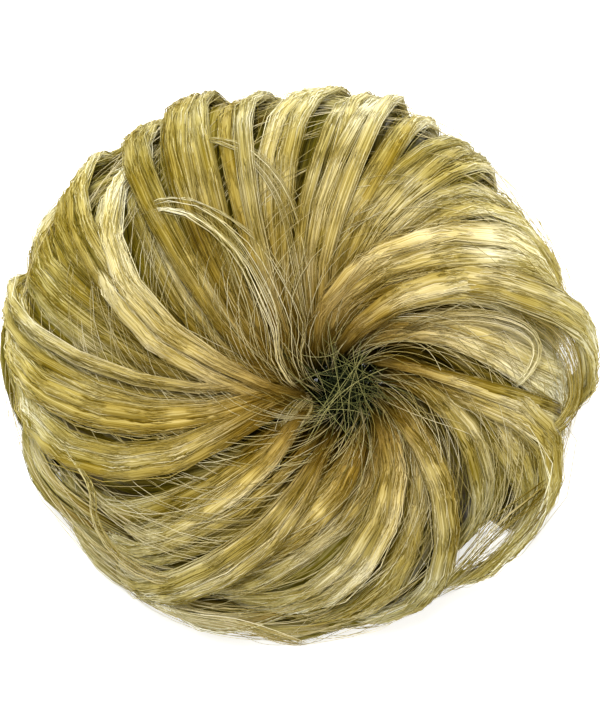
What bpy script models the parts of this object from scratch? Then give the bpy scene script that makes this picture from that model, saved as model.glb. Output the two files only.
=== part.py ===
"""Top knot hairpiece: a ring of swirled hair locks on an elastic band.

The hair is one fused body, the way the fibres of a real hairpiece hold together: a gathered ring of
hair, the locks that sweep out of the middle and tuck in at the rim, a lower tier that runs round the
rim, and the returns underneath. A sewn weft track joins the hair to the elastic band, and one's own
hair goes through the well in the middle. The piece rests on its underside, with the swirl facing up.
"""

import math

import bmesh
import bpy
from mathutils import Vector

# Overall outline, seen from above
OUTLINE_LENGTH = 0.140
OUTLINE_WIDTH = 0.1315
CREST_HEIGHT = 0.050
RIM_HEIGHT = 0.020

# The well in the middle stands off the outline's centre. Its clear radius is what a ponytail needs.
WELL_RIGHT = 0.0109
WELL_FRONT = 0.0056
WELL_RADIUS = 0.0094
WELL_CLEAR_RADIUS = 0.0082
WELL_WAIST_HEIGHT = 0.024

# Elastic band and the weft track that is sewn round it
BAND_RADIUS = 0.0190
BAND_CORD_RADIUS = 0.00225
BAND_HEIGHT = 0.0065
WEFT_WALL = 0.0015
WEFT_MOUTH_DEG = 110.0
FIT_GAP = 0.0003

# The gathered ring of hair under the locks
RING_DEPTH = 0.0055
RING_SHARE_LEFT = 0.86
RING_SHARE_RIGHT = 0.70

# Locks: the full size that the shares in the tables refer to
LOCK_WIDTH = 0.0100
LOCK_THICKNESS = 0.0048
RIM_TIER_HEIGHT = 0.013
UNDER_LOCKS = 18
UNDER_SWIRL_DEG = 34.0

# Fineness of the fused body
FUSE_GRAIN = 0.00125
FUSE_RATIO = 0.058

HAIR_BLOND = (0.56, 0.45, 0.20, 1.0)
WEFT_BROWN = (0.20, 0.12, 0.05, 1.0)
ELASTIC_TAN = (0.30, 0.22, 0.12, 1.0)

# A lock leaves the well, climbs to its crest, comes down to its rim and tucks under. The seven WAYS
# are places along it, and a row gives where the lock lies there, as degrees clockwise from the back
# when seen from above. Reach is how far out its rim lies, as a share of the outline. Width and lift
# are shares of LOCK_WIDTH and LOCK_THICKNESS, and FULLNESS is what there is of the width at each way.
WAYS = (0.0, 1 / 6, 1 / 4, 1 / 3, 0.43, 0.5, 0.6)
FULLNESS = (0.35, 0.62, 0.90, 1.0, 1.0, 0.92, 0.70)
LOCKS = (
    # name, well, inner, crest, outer, fall, rim, tuck, reach, width, lift
    ("back_1", -35, -17, -6.5, 1.5, 7, 10, 15, 1.00, 0.80, 0.8),
    ("back_2", -28, -11, 1, 9.5, 14, 17, 21, 0.96, 0.70, 0.3),
    ("back_3", -20, -4, 6.5, 17.5, 25, 29, 36, 0.96, 0.95, 0.6),
    ("back_4", -15, 3, 13, 22, 27, 31, 42, 0.97, 0.70, -0.3),
    ("back_5", -24, -3, 16, 26.5, 43, 60, 78, 0.92, 0.85, 0.5),
    ("right_1", -55, -8, 22, 44, 58, 68, 78, 0.88, 1.25, 0.9),
    ("right_2", -43, 8, 42, 63, 76, 86, 98, 0.98, 1.05, 0.6),
    ("right_3", -30, 16, 37, 54, 68, 76, 84, 0.71, 0.70, 1.2),
    ("right_4", -20, 41, 65, 81, 88, 93, 99, 0.84, 1.35, 0.3),
    ("right_5", 20, 75, 88, 94, 97.5, 100, 105, 0.88, 0.50, 1.1),
    ("right_6", 50, 82, 93, 101, 118, 135, 153, 1.00, 0.75, 0.4),
    ("right_7", 48, 84, 100, 113, 122, 128, 138, 0.90, 0.95, 0.0),
    ("right_8", 56, 86, 103, 119, 132, 141, 152, 0.73, 0.95, 0.2),
    ("front_1", 75, 111, 131, 147, 160, 172, 192, 0.91, 0.95, 1.0),
    ("front_2", 88, 119, 143, 161, 175, 186, 200, 0.88, 0.95, 0.1),
    ("front_3", 112, 142, 163, 180, 195, 206, 218, 0.84, 1.00, 0.9),
    ("front_4", 130, 159, 181, 198, 208, 216, 226, 0.82, 0.90, 0.0),
    ("front_5", 150, 179, 197, 210, 217, 222, 231, 0.84, 0.95, 0.7),
    ("left_1", 192, 202.5, 208, 217, 225, 230, 237, 0.96, 0.75, 1.3),
    ("left_2", 202, 212.5, 218, 226, 232, 237, 250, 0.88, 0.75, 0.2),
    ("left_3", 258, 232, 230, 232, 235, 240, 247, 0.78, 0.80, 0.7),
    ("left_4", 245, 238, 236.5, 239, 243, 248, 256, 0.82, 0.60, 0.4),
    ("left_5", 275, 253, 248, 254, 266, 280, 292, 0.95, 1.00, 0.8),
    ("left_6", 284, 261, 260.5, 267, 276, 284, 292, 0.98, 1.10, 0.8),
    ("left_7", 292, 268, 269.5, 275, 282, 287, 294, 1.00, 0.65, 0.1),
    ("left_8", 297, 272, 273, 278, 284, 288, 291, 1.00, 0.40, 0.9),
    ("left_9", 290, 272, 277, 284, 290, 295, 300, 0.98, 0.90, -0.1),
    ("left_10", 300, 275, 280, 287, 293, 298, 304, 0.98, 0.75, -0.3),
    ("left_11", 236, 275, 286, 297, 311, 320, 326, 0.90, 0.90, 1.2),
    ("left_12", 268, 279, 285, 291, 298, 304, 312, 0.99, 0.80, 0.1),
    ("left_13", 268, 281, 288, 298, 307, 313, 317, 1.01, 0.70, 0.4),
    ("left_14", 250, 284, 298, 308, 314, 318, 324, 0.90, 0.80, -0.2),
    ("left_15", 258, 293, 307, 314.5, 320, 324, 329, 1.00, 0.85, 0.6),
    ("left_16", 262, 300, 313, 321, 328, 332, 336, 1.02, 0.75, 0.6),
    ("left_17", 268, 307, 319, 326.5, 331, 334.5, 340, 1.01, 0.60, 0.5),
    ("left_18", 272, 318, 329, 335, 339, 343, 347, 0.97, 0.80, 0.6),
    ("left_19", 283, 326, 337.5, 344.5, 352, 358, 5, 1.00, 0.85, 0.4),
    ("left_20", 300, 336, 348, 355.5, 0, 4, 9, 0.98, 0.70, 0.5),
)

# The lower tier runs round the rim. Reach is its middle's distance, and height a share of
# RIM_TIER_HEIGHT.
RIM_TIER = (
    # name, from, to, reach from, reach middle, reach to, height, width
    ("rim_1", 168, 214, 0.84, 0.970, 0.90, 0.90, 0.95),
    ("rim_2", 186, 232, 0.80, 0.970, 0.88, 1.50, 0.95),
    ("rim_3", 212, 258, 0.90, 0.990, 0.88, 1.00, 1.00),
    ("rim_4", 230, 280, 0.84, 0.965, 0.86, 1.55, 1.00),
    ("rim_5", 252, 300, 0.88, 1.000, 0.90, 1.05, 0.95),
    ("rim_6", 274, 318, 0.84, 0.980, 0.92, 1.55, 0.95),
    ("rim_7", 296, 334, 0.90, 0.980, 0.86, 1.00, 0.90),
    ("rim_8", 318, 366, 0.86, 0.965, 0.84, 1.15, 0.95),
    ("rim_9", 334, 372, 0.84, 0.960, 0.86, 1.65, 0.85),
    ("rim_10", 352, 396, 0.82, 0.925, 0.82, 0.90, 0.90),
    ("rim_11", 2, 50, 0.84, 0.925, 0.84, 1.50, 0.90),
    ("rim_12", 28, 84, 0.84, 0.895, 0.86, 1.20, 0.90),
    ("rim_13", 142, 190, 0.84, 0.920, 0.88, 1.40, 0.90),
    ("rim_14", 220, 264, 0.82, 0.910, 0.84, 1.30, 1.10),
)

LOCK_SIDES = 10
RING_TURNS = 60
RING_SIDES = 20


def edge_distance(turn):
    """How far the outline lies from the well's axis, in the direction of turn degrees."""
    east, north = math.sin(math.radians(turn)), math.cos(math.radians(turn))
    half_x, half_y = OUTLINE_LENGTH / 2, OUTLINE_WIDTH / 2
    a = (east / half_x) ** 2 + (north / half_y) ** 2
    b = WELL_RIGHT * east / half_x**2 - WELL_FRONT * north / half_y**2
    c = (WELL_RIGHT / half_x) ** 2 + (WELL_FRONT / half_y) ** 2 - 1
    return (math.sqrt(b * b - a * c) - b) / a


def at(turn, distance, height):
    """The point that lies that far from the well's axis."""
    angle = math.radians(turn)
    return Vector(
        (WELL_RIGHT + distance * math.sin(angle), distance * math.cos(angle) - WELL_FRONT, height)
    )


def on_bun(turn, way, reach, lift=0.0):
    """A point on the bun: way 0 is in the well, 1/4 the crest, 1/2 the rim and 3/4 underneath."""
    angle = 2 * math.pi * way
    half_span = (reach * (edge_distance(turn) - WELL_RADIUS) - LOCK_THICKNESS / 3) / 2
    crest_rise = CREST_HEIGHT - 1.7 * LOCK_THICKNESS - RIM_HEIGHT
    half_height = crest_rise if math.sin(angle) > 0 else RIM_HEIGHT
    outward = Vector((-math.cos(angle) / half_span, math.sin(angle) / half_height)).normalized()
    distance = WELL_RADIUS + half_span * (1 - math.cos(angle)) + lift * outward.x
    height = RIM_HEIGHT + half_height * math.sin(angle) + lift * outward.y
    return at(turn, distance, height)


def smooth_value(places, values, place):
    """The value at place on a smooth curve through the given values."""
    last = len(places) - 2
    i = min(max(sum(p <= place for p in places) - 1, 0), last)

    def slope(k):
        before, after = max(k - 1, 0), min(k + 1, len(places) - 1)
        return (values[after] - values[before]) / (places[after] - places[before])

    span = places[i + 1] - places[i]
    t = (place - places[i]) / span
    return (
        (2 * t**3 - 3 * t**2 + 1) * values[i]
        + (t**3 - 2 * t**2 + t) * span * slope(i)
        + (3 * t**2 - 2 * t**3) * values[i + 1]
        + (t**3 - t**2) * span * slope(i + 1)
    )


def unwound(turns):
    """The same angles with no jump from 360 back to 0."""
    out = [turns[0]]
    for turn in turns[1:]:
        out.append(turn + 360 * round((out[-1] - turn) / 360))
    return out


def add_loft(bm, rings):
    """Joins closed rings of points into one capped tube."""
    loops = [[bm.verts.new(p) for p in ring] for ring in rings]
    for low, high in zip(loops, loops[1:]):
        for k in range(len(low)):
            n = (k + 1) % len(low)
            bm.faces.new((low[k], low[n], high[n], high[k]))
    bm.faces.new(loops[0][::-1])
    bm.faces.new(loops[-1])


def lens_rings(middles, outwards, half_widths, half_thicknesses):
    """Lens-shaped sections across a path, each wide along the skin and thin across it."""
    rings = []
    last = len(middles) - 1
    for i, middle in enumerate(middles):
        along = (middles[min(i + 1, last)] - middles[max(i - 1, 0)]).normalized()
        across = along.cross(outwards[i]).normalized()
        up = across.cross(along)
        ring = []
        for k in range(LOCK_SIDES):
            angle = 2 * math.pi * k / LOCK_SIDES
            ring.append(
                middle
                + across * half_widths[i] * math.cos(angle)
                + up * half_thicknesses[i] * math.sin(angle)
            )
        rings.append(ring)
    return rings


def add_swirl_lock(bm, row):
    """One lock from the well over its crest, tucked under its rim onto the gathered ring."""
    turns, (reach, width, lift) = unwound(row[1:8]), row[8:]
    stations = 19
    start, rim, end = -0.03, 0.5, 0.69
    middles, outwards, half_widths, half_thicknesses = [], [], [], []
    for i in range(stations):
        share = i / (stations - 1)
        way = start + (end - start) * share
        place = min(max(way, 0.0), WAYS[-1])
        turn = smooth_value(WAYS, turns, place)
        fullness = smooth_value(WAYS, FULLNESS, place)
        stand = lift * LOCK_THICKNESS * max(0.0, math.sin(2 * math.pi * place)) ** 1.3
        tucked = min(max(way - rim, 0.0) / (end - rim), 1.0)
        here = reach + (ring_reach(turn) - reach) * tucked
        skin = on_bun(turn, way, here, stand)
        middles.append(skin)
        outwards.append(on_bun(turn, way, here, stand + LOCK_THICKNESS) - skin)
        half_widths.append(fullness * width * LOCK_WIDTH / 2)
        half_thicknesses.append(LOCK_THICKNESS / 2 * (0.7 + 0.3 * fullness))
    add_loft(bm, lens_rings(middles, outwards, half_widths, half_thicknesses))


def add_rim_lock(bm, row):
    """One lock of the lower tier, lying round the rim."""
    _, turn_from, turn_to, reach_from, reach_middle, reach_to, height, width = row
    stations = 13
    middles, outwards, half_widths, half_thicknesses = [], [], [], []
    for i in range(stations):
        share = i / (stations - 1)
        turn = turn_from + (turn_to - turn_from) * share
        reach = smooth_value((0.0, 0.5, 1.0), (reach_from, reach_middle, reach_to), share)
        distance = reach * edge_distance(turn) - LOCK_THICKNESS / 2
        middles.append(at(turn, distance, height * RIM_TIER_HEIGHT))
        outwards.append(at(turn, 1.0, 0.0) - at(turn, 0.0, 0.0))
        belly = math.sin(math.pi * share) ** 0.5
        half_widths.append(width * LOCK_WIDTH / 2 * (0.45 + 0.55 * belly))
        half_thicknesses.append(LOCK_THICKNESS / 2 * (0.8 + 0.4 * belly))
    add_loft(bm, lens_rings(middles, outwards, half_widths, half_thicknesses))


def add_under_lock(bm, number):
    """One of the returns that run from the rim back to the band underneath."""
    stations = 9
    middles, outwards, half_widths, half_thicknesses = [], [], [], []
    for i in range(stations):
        share = i / (stations - 1)
        way = 0.56 + 0.24 * share
        turn = 360 * number / UNDER_LOCKS + UNDER_SWIRL_DEG * share
        reach = ring_reach(turn) + 0.06 * (1 - share)
        skin = on_bun(turn, way, reach)
        middles.append(skin)
        outwards.append(on_bun(turn, way, reach, LOCK_THICKNESS) - skin)
        half_widths.append(LOCK_WIDTH * (0.55 - 0.20 * share))
        half_thicknesses.append(LOCK_THICKNESS / 2)
    add_loft(bm, lens_rings(middles, outwards, half_widths, half_thicknesses))


def ring_reach(turn):
    """The gathered ring is narrower at the right, where light shows through the loops."""
    towards_right = max(0.0, math.cos(math.radians(turn - 95))) ** 0.7
    return RING_SHARE_LEFT + (RING_SHARE_RIGHT - RING_SHARE_LEFT) * towards_right


def add_gathered_ring(bm):
    """The ring of gathered hair that the locks lie on."""
    rows = []
    for i in range(RING_TURNS):
        turn = 360 * i / RING_TURNS
        row = []
        for k in range(RING_SIDES):
            way = k / RING_SIDES
            depth = RING_DEPTH * max(0.0, math.sin(2 * math.pi * way)) ** 0.5
            row.append(bm.verts.new(on_bun(turn, way, ring_reach(turn), -depth)))
        rows.append(row)
    for i, row in enumerate(rows):
        after = rows[(i + 1) % RING_TURNS]
        for k in range(RING_SIDES):
            n = (k + 1) % RING_SIDES
            bm.faces.new((row[k], row[n], after[n], after[k]))


def new_object(name, mesh, collection, colour=None):
    obj = bpy.data.objects.new(name, mesh)
    collection.objects.link(obj)
    if colour:
        material = bpy.data.materials.new(name)
        material.use_nodes = True
        shader = material.node_tree.nodes["Principled BSDF"]
        shader.inputs["Base Color"].default_value = colour
        shader.inputs["Roughness"].default_value = 0.5
        mesh.materials.append(material)
    return obj


def turned(name, profile, collection, colour=None, steps=40):
    """A solid of revolution about the well's axis, from a closed outline of (distance, height)."""
    bm = bmesh.new()
    corners = [bm.verts.new((distance, 0.0, height)) for distance, height in profile]
    for k, corner in enumerate(corners):
        bm.edges.new((corner, corners[(k + 1) % len(corners)]))
    bmesh.ops.spin(
        bm,
        geom=bm.verts[:] + bm.edges[:],
        axis=(0, 0, 1),
        cent=(0, 0, 0),
        steps=steps,
        angle=2 * math.pi,
        use_merge=True,
    )
    bmesh.ops.recalc_face_normals(bm, faces=bm.faces)
    mesh = bpy.data.meshes.new(name)
    bm.to_mesh(mesh)
    bm.free()
    obj = new_object(name, mesh, collection, colour)
    obj.location = at(0, 0, 0)
    return obj


def arc(middle, radius, start_deg, end_deg, steps):
    """Points round an arc, as (distance, height), from one angle to the other."""
    points = []
    for i in range(steps + 1):
        angle = math.radians(start_deg + (end_deg - start_deg) * i / steps)
        points.append((middle[0] + radius * math.cos(angle), middle[1] + radius * math.sin(angle)))
    return points


def weft_outer_radius():
    return BAND_CORD_RADIUS + FIT_GAP + WEFT_WALL


def make_elastic_band(collection):
    """The round elastic cord, a closed ring."""
    circle = arc((BAND_RADIUS, BAND_HEIGHT), BAND_CORD_RADIUS, 0, 324, 9)
    return turned("elastic_band", circle, collection, ELASTIC_TAN)


def make_weft_track(collection):
    """The sewn track that wraps the cord, open towards the well."""
    middle = (BAND_RADIUS, BAND_HEIGHT)
    low, high = -180 + WEFT_MOUTH_DEG / 2, 180 - WEFT_MOUTH_DEG / 2
    outer = arc(middle, weft_outer_radius(), low, high, 7)
    inner = arc(middle, BAND_CORD_RADIUS + FIT_GAP, high, low, 7)
    return turned("weft_track", outer + inner, collection, WEFT_BROWN)


def make_cutter(collection):
    """What is taken out of the fused hair: the well, the weft's seat and all below the floor."""
    top, below = CREST_HEIGHT * 1.5, -CREST_HEIGHT / 2
    beyond = 2 * OUTLINE_LENGTH
    seat = arc((BAND_RADIUS, BAND_HEIGHT), weft_outer_radius() + FIT_GAP, 120, 0, 8)
    well = [(0, top), (WELL_CLEAR_RADIUS, top), (WELL_CLEAR_RADIUS, WELL_WAIST_HEIGHT)]
    floor = [(seat[-1][0], 0), (beyond, 0), (beyond, below), (0, below)]
    cutter = turned("well_seat_and_floor", well + seat + floor, collection)
    cutter.hide_render = True
    cutter.display_type = "WIRE"
    return cutter


def make_hair(collection, cutter):
    """All the hair as one body: the ring and the locks are fused, then the cutter is taken out."""
    bm = bmesh.new()
    add_gathered_ring(bm)
    for row in LOCKS:
        add_swirl_lock(bm, row)
    for row in RIM_TIER:
        add_rim_lock(bm, row)
    for number in range(UNDER_LOCKS):
        add_under_lock(bm, number)
    bmesh.ops.recalc_face_normals(bm, faces=bm.faces)
    mesh = bpy.data.meshes.new("hair_locks")
    bm.to_mesh(mesh)
    bm.free()
    hair = new_object("hair_locks", mesh, collection, HAIR_BLOND)
    fuse = hair.modifiers.new("fuse", "REMESH")
    fuse.mode = "VOXEL"
    fuse.voxel_size = FUSE_GRAIN
    soften = hair.modifiers.new("soften", "SMOOTH")
    soften.iterations = 1
    thin = hair.modifiers.new("thin", "DECIMATE")
    thin.ratio = FUSE_RATIO
    thin.use_collapse_triangulate = True
    cut = hair.modifiers.new("cut", "BOOLEAN")
    cut.operation = "DIFFERENCE"
    cut.object = cutter
    return hair


def centre_on_origin(parts, everything):
    """Moves all of it so that the parts' box has its middle over the origin."""
    bpy.context.view_layer.update()
    graph = bpy.context.evaluated_depsgraph_get()
    corners = []
    for part in parts:
        seen = part.evaluated_get(graph)
        corners += [seen.matrix_world @ v.co for v in seen.data.vertices]
    for axis in (0, 1):
        values = [corner[axis] for corner in corners]
        shift = (min(values) + max(values)) / 2
        for obj in everything:
            obj.location[axis] -= shift


def main():
    for obj in list(bpy.data.objects):
        bpy.data.objects.remove(obj)
    parts = bpy.data.collections.new("top_knot_hairpiece")
    helpers = bpy.data.collections.new("cutters")
    for collection in (parts, helpers):
        bpy.context.scene.collection.children.link(collection)
    cutter = make_cutter(helpers)
    hair = make_hair(parts, cutter)
    band = make_elastic_band(parts)
    weft = make_weft_track(parts)
    centre_on_origin([hair, band, weft], [hair, band, weft, cutter])


main()
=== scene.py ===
"""A top knot hairpiece, seen from straight above: blond locks that swirl out of an off-centre well.

Every lock is a bundle of fine strands round packed cores. Nearly all of them follow the locks of the
solid part: they come up out of the well, go over its crest, come down at the rim and tuck under.
"""

import math

import bpy
import numpy as np
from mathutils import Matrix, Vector


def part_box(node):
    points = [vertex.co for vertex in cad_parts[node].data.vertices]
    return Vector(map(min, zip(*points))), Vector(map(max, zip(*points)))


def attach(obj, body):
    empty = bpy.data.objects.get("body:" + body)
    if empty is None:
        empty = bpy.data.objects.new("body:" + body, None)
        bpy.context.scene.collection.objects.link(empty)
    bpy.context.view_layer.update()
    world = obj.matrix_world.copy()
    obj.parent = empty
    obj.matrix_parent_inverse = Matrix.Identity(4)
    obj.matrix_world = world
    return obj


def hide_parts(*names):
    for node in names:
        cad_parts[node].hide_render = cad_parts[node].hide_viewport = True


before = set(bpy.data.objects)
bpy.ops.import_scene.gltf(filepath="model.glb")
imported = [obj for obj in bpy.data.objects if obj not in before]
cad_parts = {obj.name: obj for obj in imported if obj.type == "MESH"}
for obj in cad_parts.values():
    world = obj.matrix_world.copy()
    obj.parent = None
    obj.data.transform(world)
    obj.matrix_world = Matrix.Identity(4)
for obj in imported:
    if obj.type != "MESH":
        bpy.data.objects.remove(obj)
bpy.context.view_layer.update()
chance = np.random.default_rng(64)

# The bun's named sizes, in metres, as in the solid part
OUTLINE_LENGTH = 0.140
OUTLINE_WIDTH = 0.1315
CREST_HEIGHT = 0.050
RIM_HEIGHT = 0.020
WELL_RIGHT = 0.0109
WELL_FRONT = 0.0056
WELL_RADIUS = 0.0094
BAND_RADIUS = 0.0190
BAND_CORD_RADIUS = 0.00225
BAND_HEIGHT = 0.0065
WEFT_WALL = 0.0015
FIT_GAP = 0.0003
RING_DEPTH = 0.0055
RING_REACH_WIDE = 0.86
RING_REACH_NARROW = 0.70
LOCK_WIDTH = 0.0100
LOCK_THICKNESS = 0.0048
RIM_TIER_HEIGHT = 0.013
UNDER_LOCKS = 18
UNDER_SWIRL_DEG = 34.0

# How many strands a lock of full width has, and each lock of the other kinds
LOCK_STRANDS = 215
INNER_STRANDS = 58
OPEN_STRANDS = 16
RIM_STRANDS = 112
BACKING_STRANDS = 60
UNDER_STRANDS = 40

# Radii of the strands in metres, larger than a real fibre's, so that fewer of them cover
STRAND_RADIUS = 0.000125
INNER_RADIUS = 0.00010
FINE_RADIUS = 0.00007

# Points along a strand, clumps in each part of a lock, and how low the hair may reach in metres
STATIONS = 13
CLUMPS = 5
LOWEST_CORE = 0.0006
LOWEST_RING = 0.0008

# Between these turns light shows through the loops, so the hair inside them stays short
OPEN_FROM, OPEN_TO = 84, 131
OPEN_REACH = 0.64

band_low, band_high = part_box("elastic_band")
WELL = (np.array(band_low) + np.array(band_high)) / 2

# The seven ways along a lock where its direction is given, how full it is there, and its two ends
WAYS = np.array((0.0, 1 / 6, 1 / 4, 1 / 3, 0.43, 0.5, 0.6))
FULLNESS = np.array((0.35, 0.62, 0.90, 1.0, 1.0, 0.92, 0.70))
LOCK_START, LOCK_END = -0.05, 0.69

# Where each lock lies at the seven WAYS, as degrees clockwise from the back when seen from above.
# A few at the right and the front are set apart from the solid's, to open the gaps between them.
# Reach is how far out its rim lies, as a share of the outline. Width and lift are shares of
# LOCK_WIDTH and LOCK_THICKNESS. Tone runs from 0, dark, to 1, pale; it is partly the hair's own colour
# and partly painted shade, as the locks at the left are set darker against the light that falls on them.
# Gold is how yellow it is.
LOCKS = {
    "locks_back": (
        # well, inner, crest, outer, fall, rim, tuck, reach, width, lift, tone, gold
        (-35, -17, -6.5, 1.5, 7, 10, 15, 1.00, 0.80, 0.8, 0.60, 0.5),
        (-28, -11, 1, 9.5, 14, 17, 21, 0.96, 0.70, 0.3, 0.50, 0.5),
        (-20, -4, 6.5, 17.5, 25, 29, 36, 0.96, 0.95, 0.6, 0.62, 0.5),
        (-15, 3, 13, 22, 27, 31, 42, 0.97, 0.70, -0.3, 0.42, 0.4),
        (-24, -3, 16, 26.5, 43, 60, 78, 0.92, 0.85, 0.5, 0.60, 0.5),
    ),
    "locks_right": (
        (-55, -8, 22, 44, 58, 68, 78, 0.88, 1.25, 0.9, 0.78, 0.6),
        (-43, 8, 42, 63, 76, 86, 98, 0.98, 1.05, 0.6, 0.62, 0.5),
        (-30, 16, 37, 54, 68, 76, 84, 0.71, 0.70, 1.2, 0.70, 0.5),
        (-20, 41, 65, 81, 88, 93, 99, 0.84, 1.35, 0.3, 0.85, 0.5),
        (20, 75, 88, 94, 97.5, 100, 105, 0.88, 0.50, 1.1, 0.50, 0.6),
        (50, 82, 93, 101, 120, 143, 163, 0.985, 0.85, 0.4, 0.62, 0.4),
        (54, 84, 96, 105, 117, 126, 128, 0.905, 0.80, 0.0, 0.56, 0.4),
        (48, 84, 100, 112, 120, 123, 122, 0.90, 0.85, 0.0, 0.52, 0.4),
        (56, 86, 103, 119, 132, 143, 158, 0.76, 1.00, 0.2, 0.58, 0.4),
    ),
    "locks_front": (
        (90, 121, 135, 148, 160, 172, 192, 0.91, 0.95, 1.0, 0.66, 0.5),
        (98, 127, 146, 162, 175, 186, 200, 0.88, 0.95, 0.1, 0.60, 0.5),
        (112, 142, 163, 180, 195, 206, 218, 0.84, 1.00, 0.9, 0.72, 0.5),
        (130, 159, 181, 198, 208, 216, 226, 0.82, 0.90, 0.0, 0.64, 0.5),
        (150, 179, 197, 210, 217, 222, 231, 0.84, 0.95, 0.7, 0.68, 0.5),
    ),
    "locks_left_front": (
        (192, 202.5, 208, 217, 225, 230, 237, 0.96, 0.75, 1.3, 0.60, 0.5),
        (202, 212.5, 218, 226, 232, 237, 250, 0.88, 0.75, 0.2, 0.56, 0.5),
        (258, 232, 230, 232, 235, 240, 247, 0.78, 0.80, 0.7, 0.62, 0.6),
        (245, 238, 236.5, 239, 243, 248, 256, 0.82, 0.60, 0.4, 0.51, 0.5),
        (275, 253, 248, 254, 266, 280, 292, 0.95, 1.00, 0.8, 0.57, 0.6),
        (284, 261, 260.5, 267, 276, 284, 292, 0.98, 1.10, 0.8, 0.60, 0.6),
    ),
    # Tones set lower as painted shade, against the light that falls on the left side
    "locks_left": (
        (292, 268, 269.5, 275, 282, 287, 294, 1.00, 0.65, 0.1, 0.45, 0.6),
        (297, 272, 273, 278, 284, 288, 291, 1.00, 0.34, 0.9, 0.67, 0.3),
        (290, 272, 277, 284, 290, 295, 300, 0.98, 0.90, -0.1, 0.47, 0.6),
        (300, 275, 280, 287, 293, 298, 304, 0.98, 0.75, -0.3, 0.45, 0.6),
        (236, 275, 286, 297, 311, 320, 326, 0.90, 0.90, 1.2, 0.63, 0.7),
        (268, 279, 285, 291, 298, 304, 312, 0.99, 0.80, 0.1, 0.47, 0.6),
        (268, 281, 288, 298, 307, 313, 317, 1.01, 0.70, 0.4, 0.50, 0.5),
    ),
    "locks_left_back": (
        (250, 284, 298, 308, 314, 318, 324, 0.90, 0.80, -0.2, 0.52, 0.5),
        (258, 293, 307, 314.5, 320, 324, 329, 1.00, 0.85, 0.6, 0.62, 0.5),
        (262, 300, 313, 321, 328, 332, 336, 1.02, 0.75, 0.6, 0.58, 0.5),
        (268, 307, 319, 326.5, 331, 334.5, 340, 1.01, 0.60, 0.5, 0.52, 0.5),
        (272, 318, 329, 335, 339, 343, 347, 0.97, 0.80, 0.6, 0.62, 0.5),
        (283, 326, 337.5, 344.5, 352, 358, 5, 1.00, 0.85, 0.4, 0.56, 0.5),
        (300, 336, 348, 355.5, 0, 4, 9, 0.98, 0.70, 0.5, 0.60, 0.5),
    ),
}

# The lower tier that runs round the rim
RIM_TIER = (
    # from, to, reach from, reach middle, reach to, height, width, tone
    (168, 214, 0.84, 0.970, 0.90, 0.90, 0.95, 0.55),
    (186, 232, 0.80, 0.970, 0.88, 1.50, 0.95, 0.60),
    (212, 258, 0.90, 0.990, 0.88, 1.00, 1.00, 0.52),
    (230, 280, 0.84, 0.965, 0.86, 1.55, 1.00, 0.60),
    (252, 300, 0.88, 1.000, 0.90, 1.05, 0.95, 0.52),
    (274, 318, 0.84, 0.980, 0.92, 1.55, 0.95, 0.58),
    (296, 334, 0.90, 0.980, 0.86, 1.00, 0.90, 0.52),
    (318, 366, 0.86, 0.965, 0.84, 1.15, 0.95, 0.55),
    (334, 372, 0.84, 0.960, 0.86, 1.65, 0.85, 0.55),
    (352, 396, 0.82, 0.925, 0.82, 0.90, 0.90, 0.50),
    (2, 50, 0.84, 0.925, 0.84, 1.50, 0.90, 0.55),
    (28, 84, 0.84, 0.895, 0.86, 1.20, 0.90, 0.60),
    (149, 190, 0.85, 0.920, 0.88, 1.40, 0.90, 0.55),
    (220, 264, 0.82, 0.910, 0.84, 1.30, 1.10, 0.50),
)

# Hair behind the lower tier, with the same columns. Its lower tones are painted shade, as it lies behind
# the tier.
RIM_BACKING = (
    (158, 212, 0.87, 0.955, 0.88, 0.75, 1.15, 0.48),
    (194, 242, 0.87, 0.945, 0.88, 1.10, 1.10, 0.45),
    (248, 300, 0.84, 0.930, 0.86, 0.80, 1.10, 0.42),
    (296, 350, 0.84, 0.920, 0.84, 0.80, 1.10, 0.42),
    (342, 400, 0.82, 0.890, 0.80, 0.70, 1.10, 0.42),
)

# Thin wisps that lie across the locks
WISPS = (
    # strands, width, lift, tone, gold, and then at each of its places the turn and the share of
    # the way out
    (40, 0.50, 0.5, 0.75, 0.3, (
        (262, 0.02), (250, 0.05), (243, 0.09), (236, 0.15), (228, 0.22), (221, 0.29),
    )),
    (22, 0.95, 1.2, 0.76, 0.3, (
        (268, 0.05), (286, 0.10), (301, 0.15), (314, 0.19), (321, 0.25), (325, 0.35),
        (326, 0.45), (324, 0.55), (320, 0.67), (315, 0.74), (309, 0.77),
    )),
    (12, 0.85, 1.2, 0.72, 0.3, (
        (280, 0.10), (296, 0.20), (308, 0.26), (316, 0.33), (321, 0.45), (322, 0.58),
        (319, 0.70),
    )),
    (26, 1.50, 0.0, 0.45, 0.3, (
        (112, 0.93), (122, 0.90), (131, 0.87), (140, 0.86), (149, 0.88), (158, 0.92),
    )),
    (46, 0.75, 0.1, 0.55, 0.5, (
        (60, 0.60), (68, 0.74), (76, 0.84), (84, 0.89), (92, 0.90), (99, 0.85),
        (103, 0.78),
    )),
    (22, 0.40, 0.8, 0.75, 0.3, (
        (40, 0.16), (54, 0.40), (64, 0.56), (71, 0.66), (77, 0.70), (84, 0.66),
        (90, 0.58),
    )),
    (22, 0.40, 0.8, 0.80, 0.3, (
        (330, 0.14), (338, 0.30), (342, 0.50), (341, 0.66), (336, 0.80), (328, 0.88),
    )),
    (12, 0.40, 0.6, 0.70, 0.3, (
        (214, 0.70), (222, 0.84), (232, 0.885), (242, 0.86), (250, 0.80), (262, 0.84),
    )),
    (20, 0.50, 0.6, 0.85, 0.1, (
        (188, 0.97), (196, 0.93), (206, 0.91), (216, 0.94), (226, 0.97),
    )),
)


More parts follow.
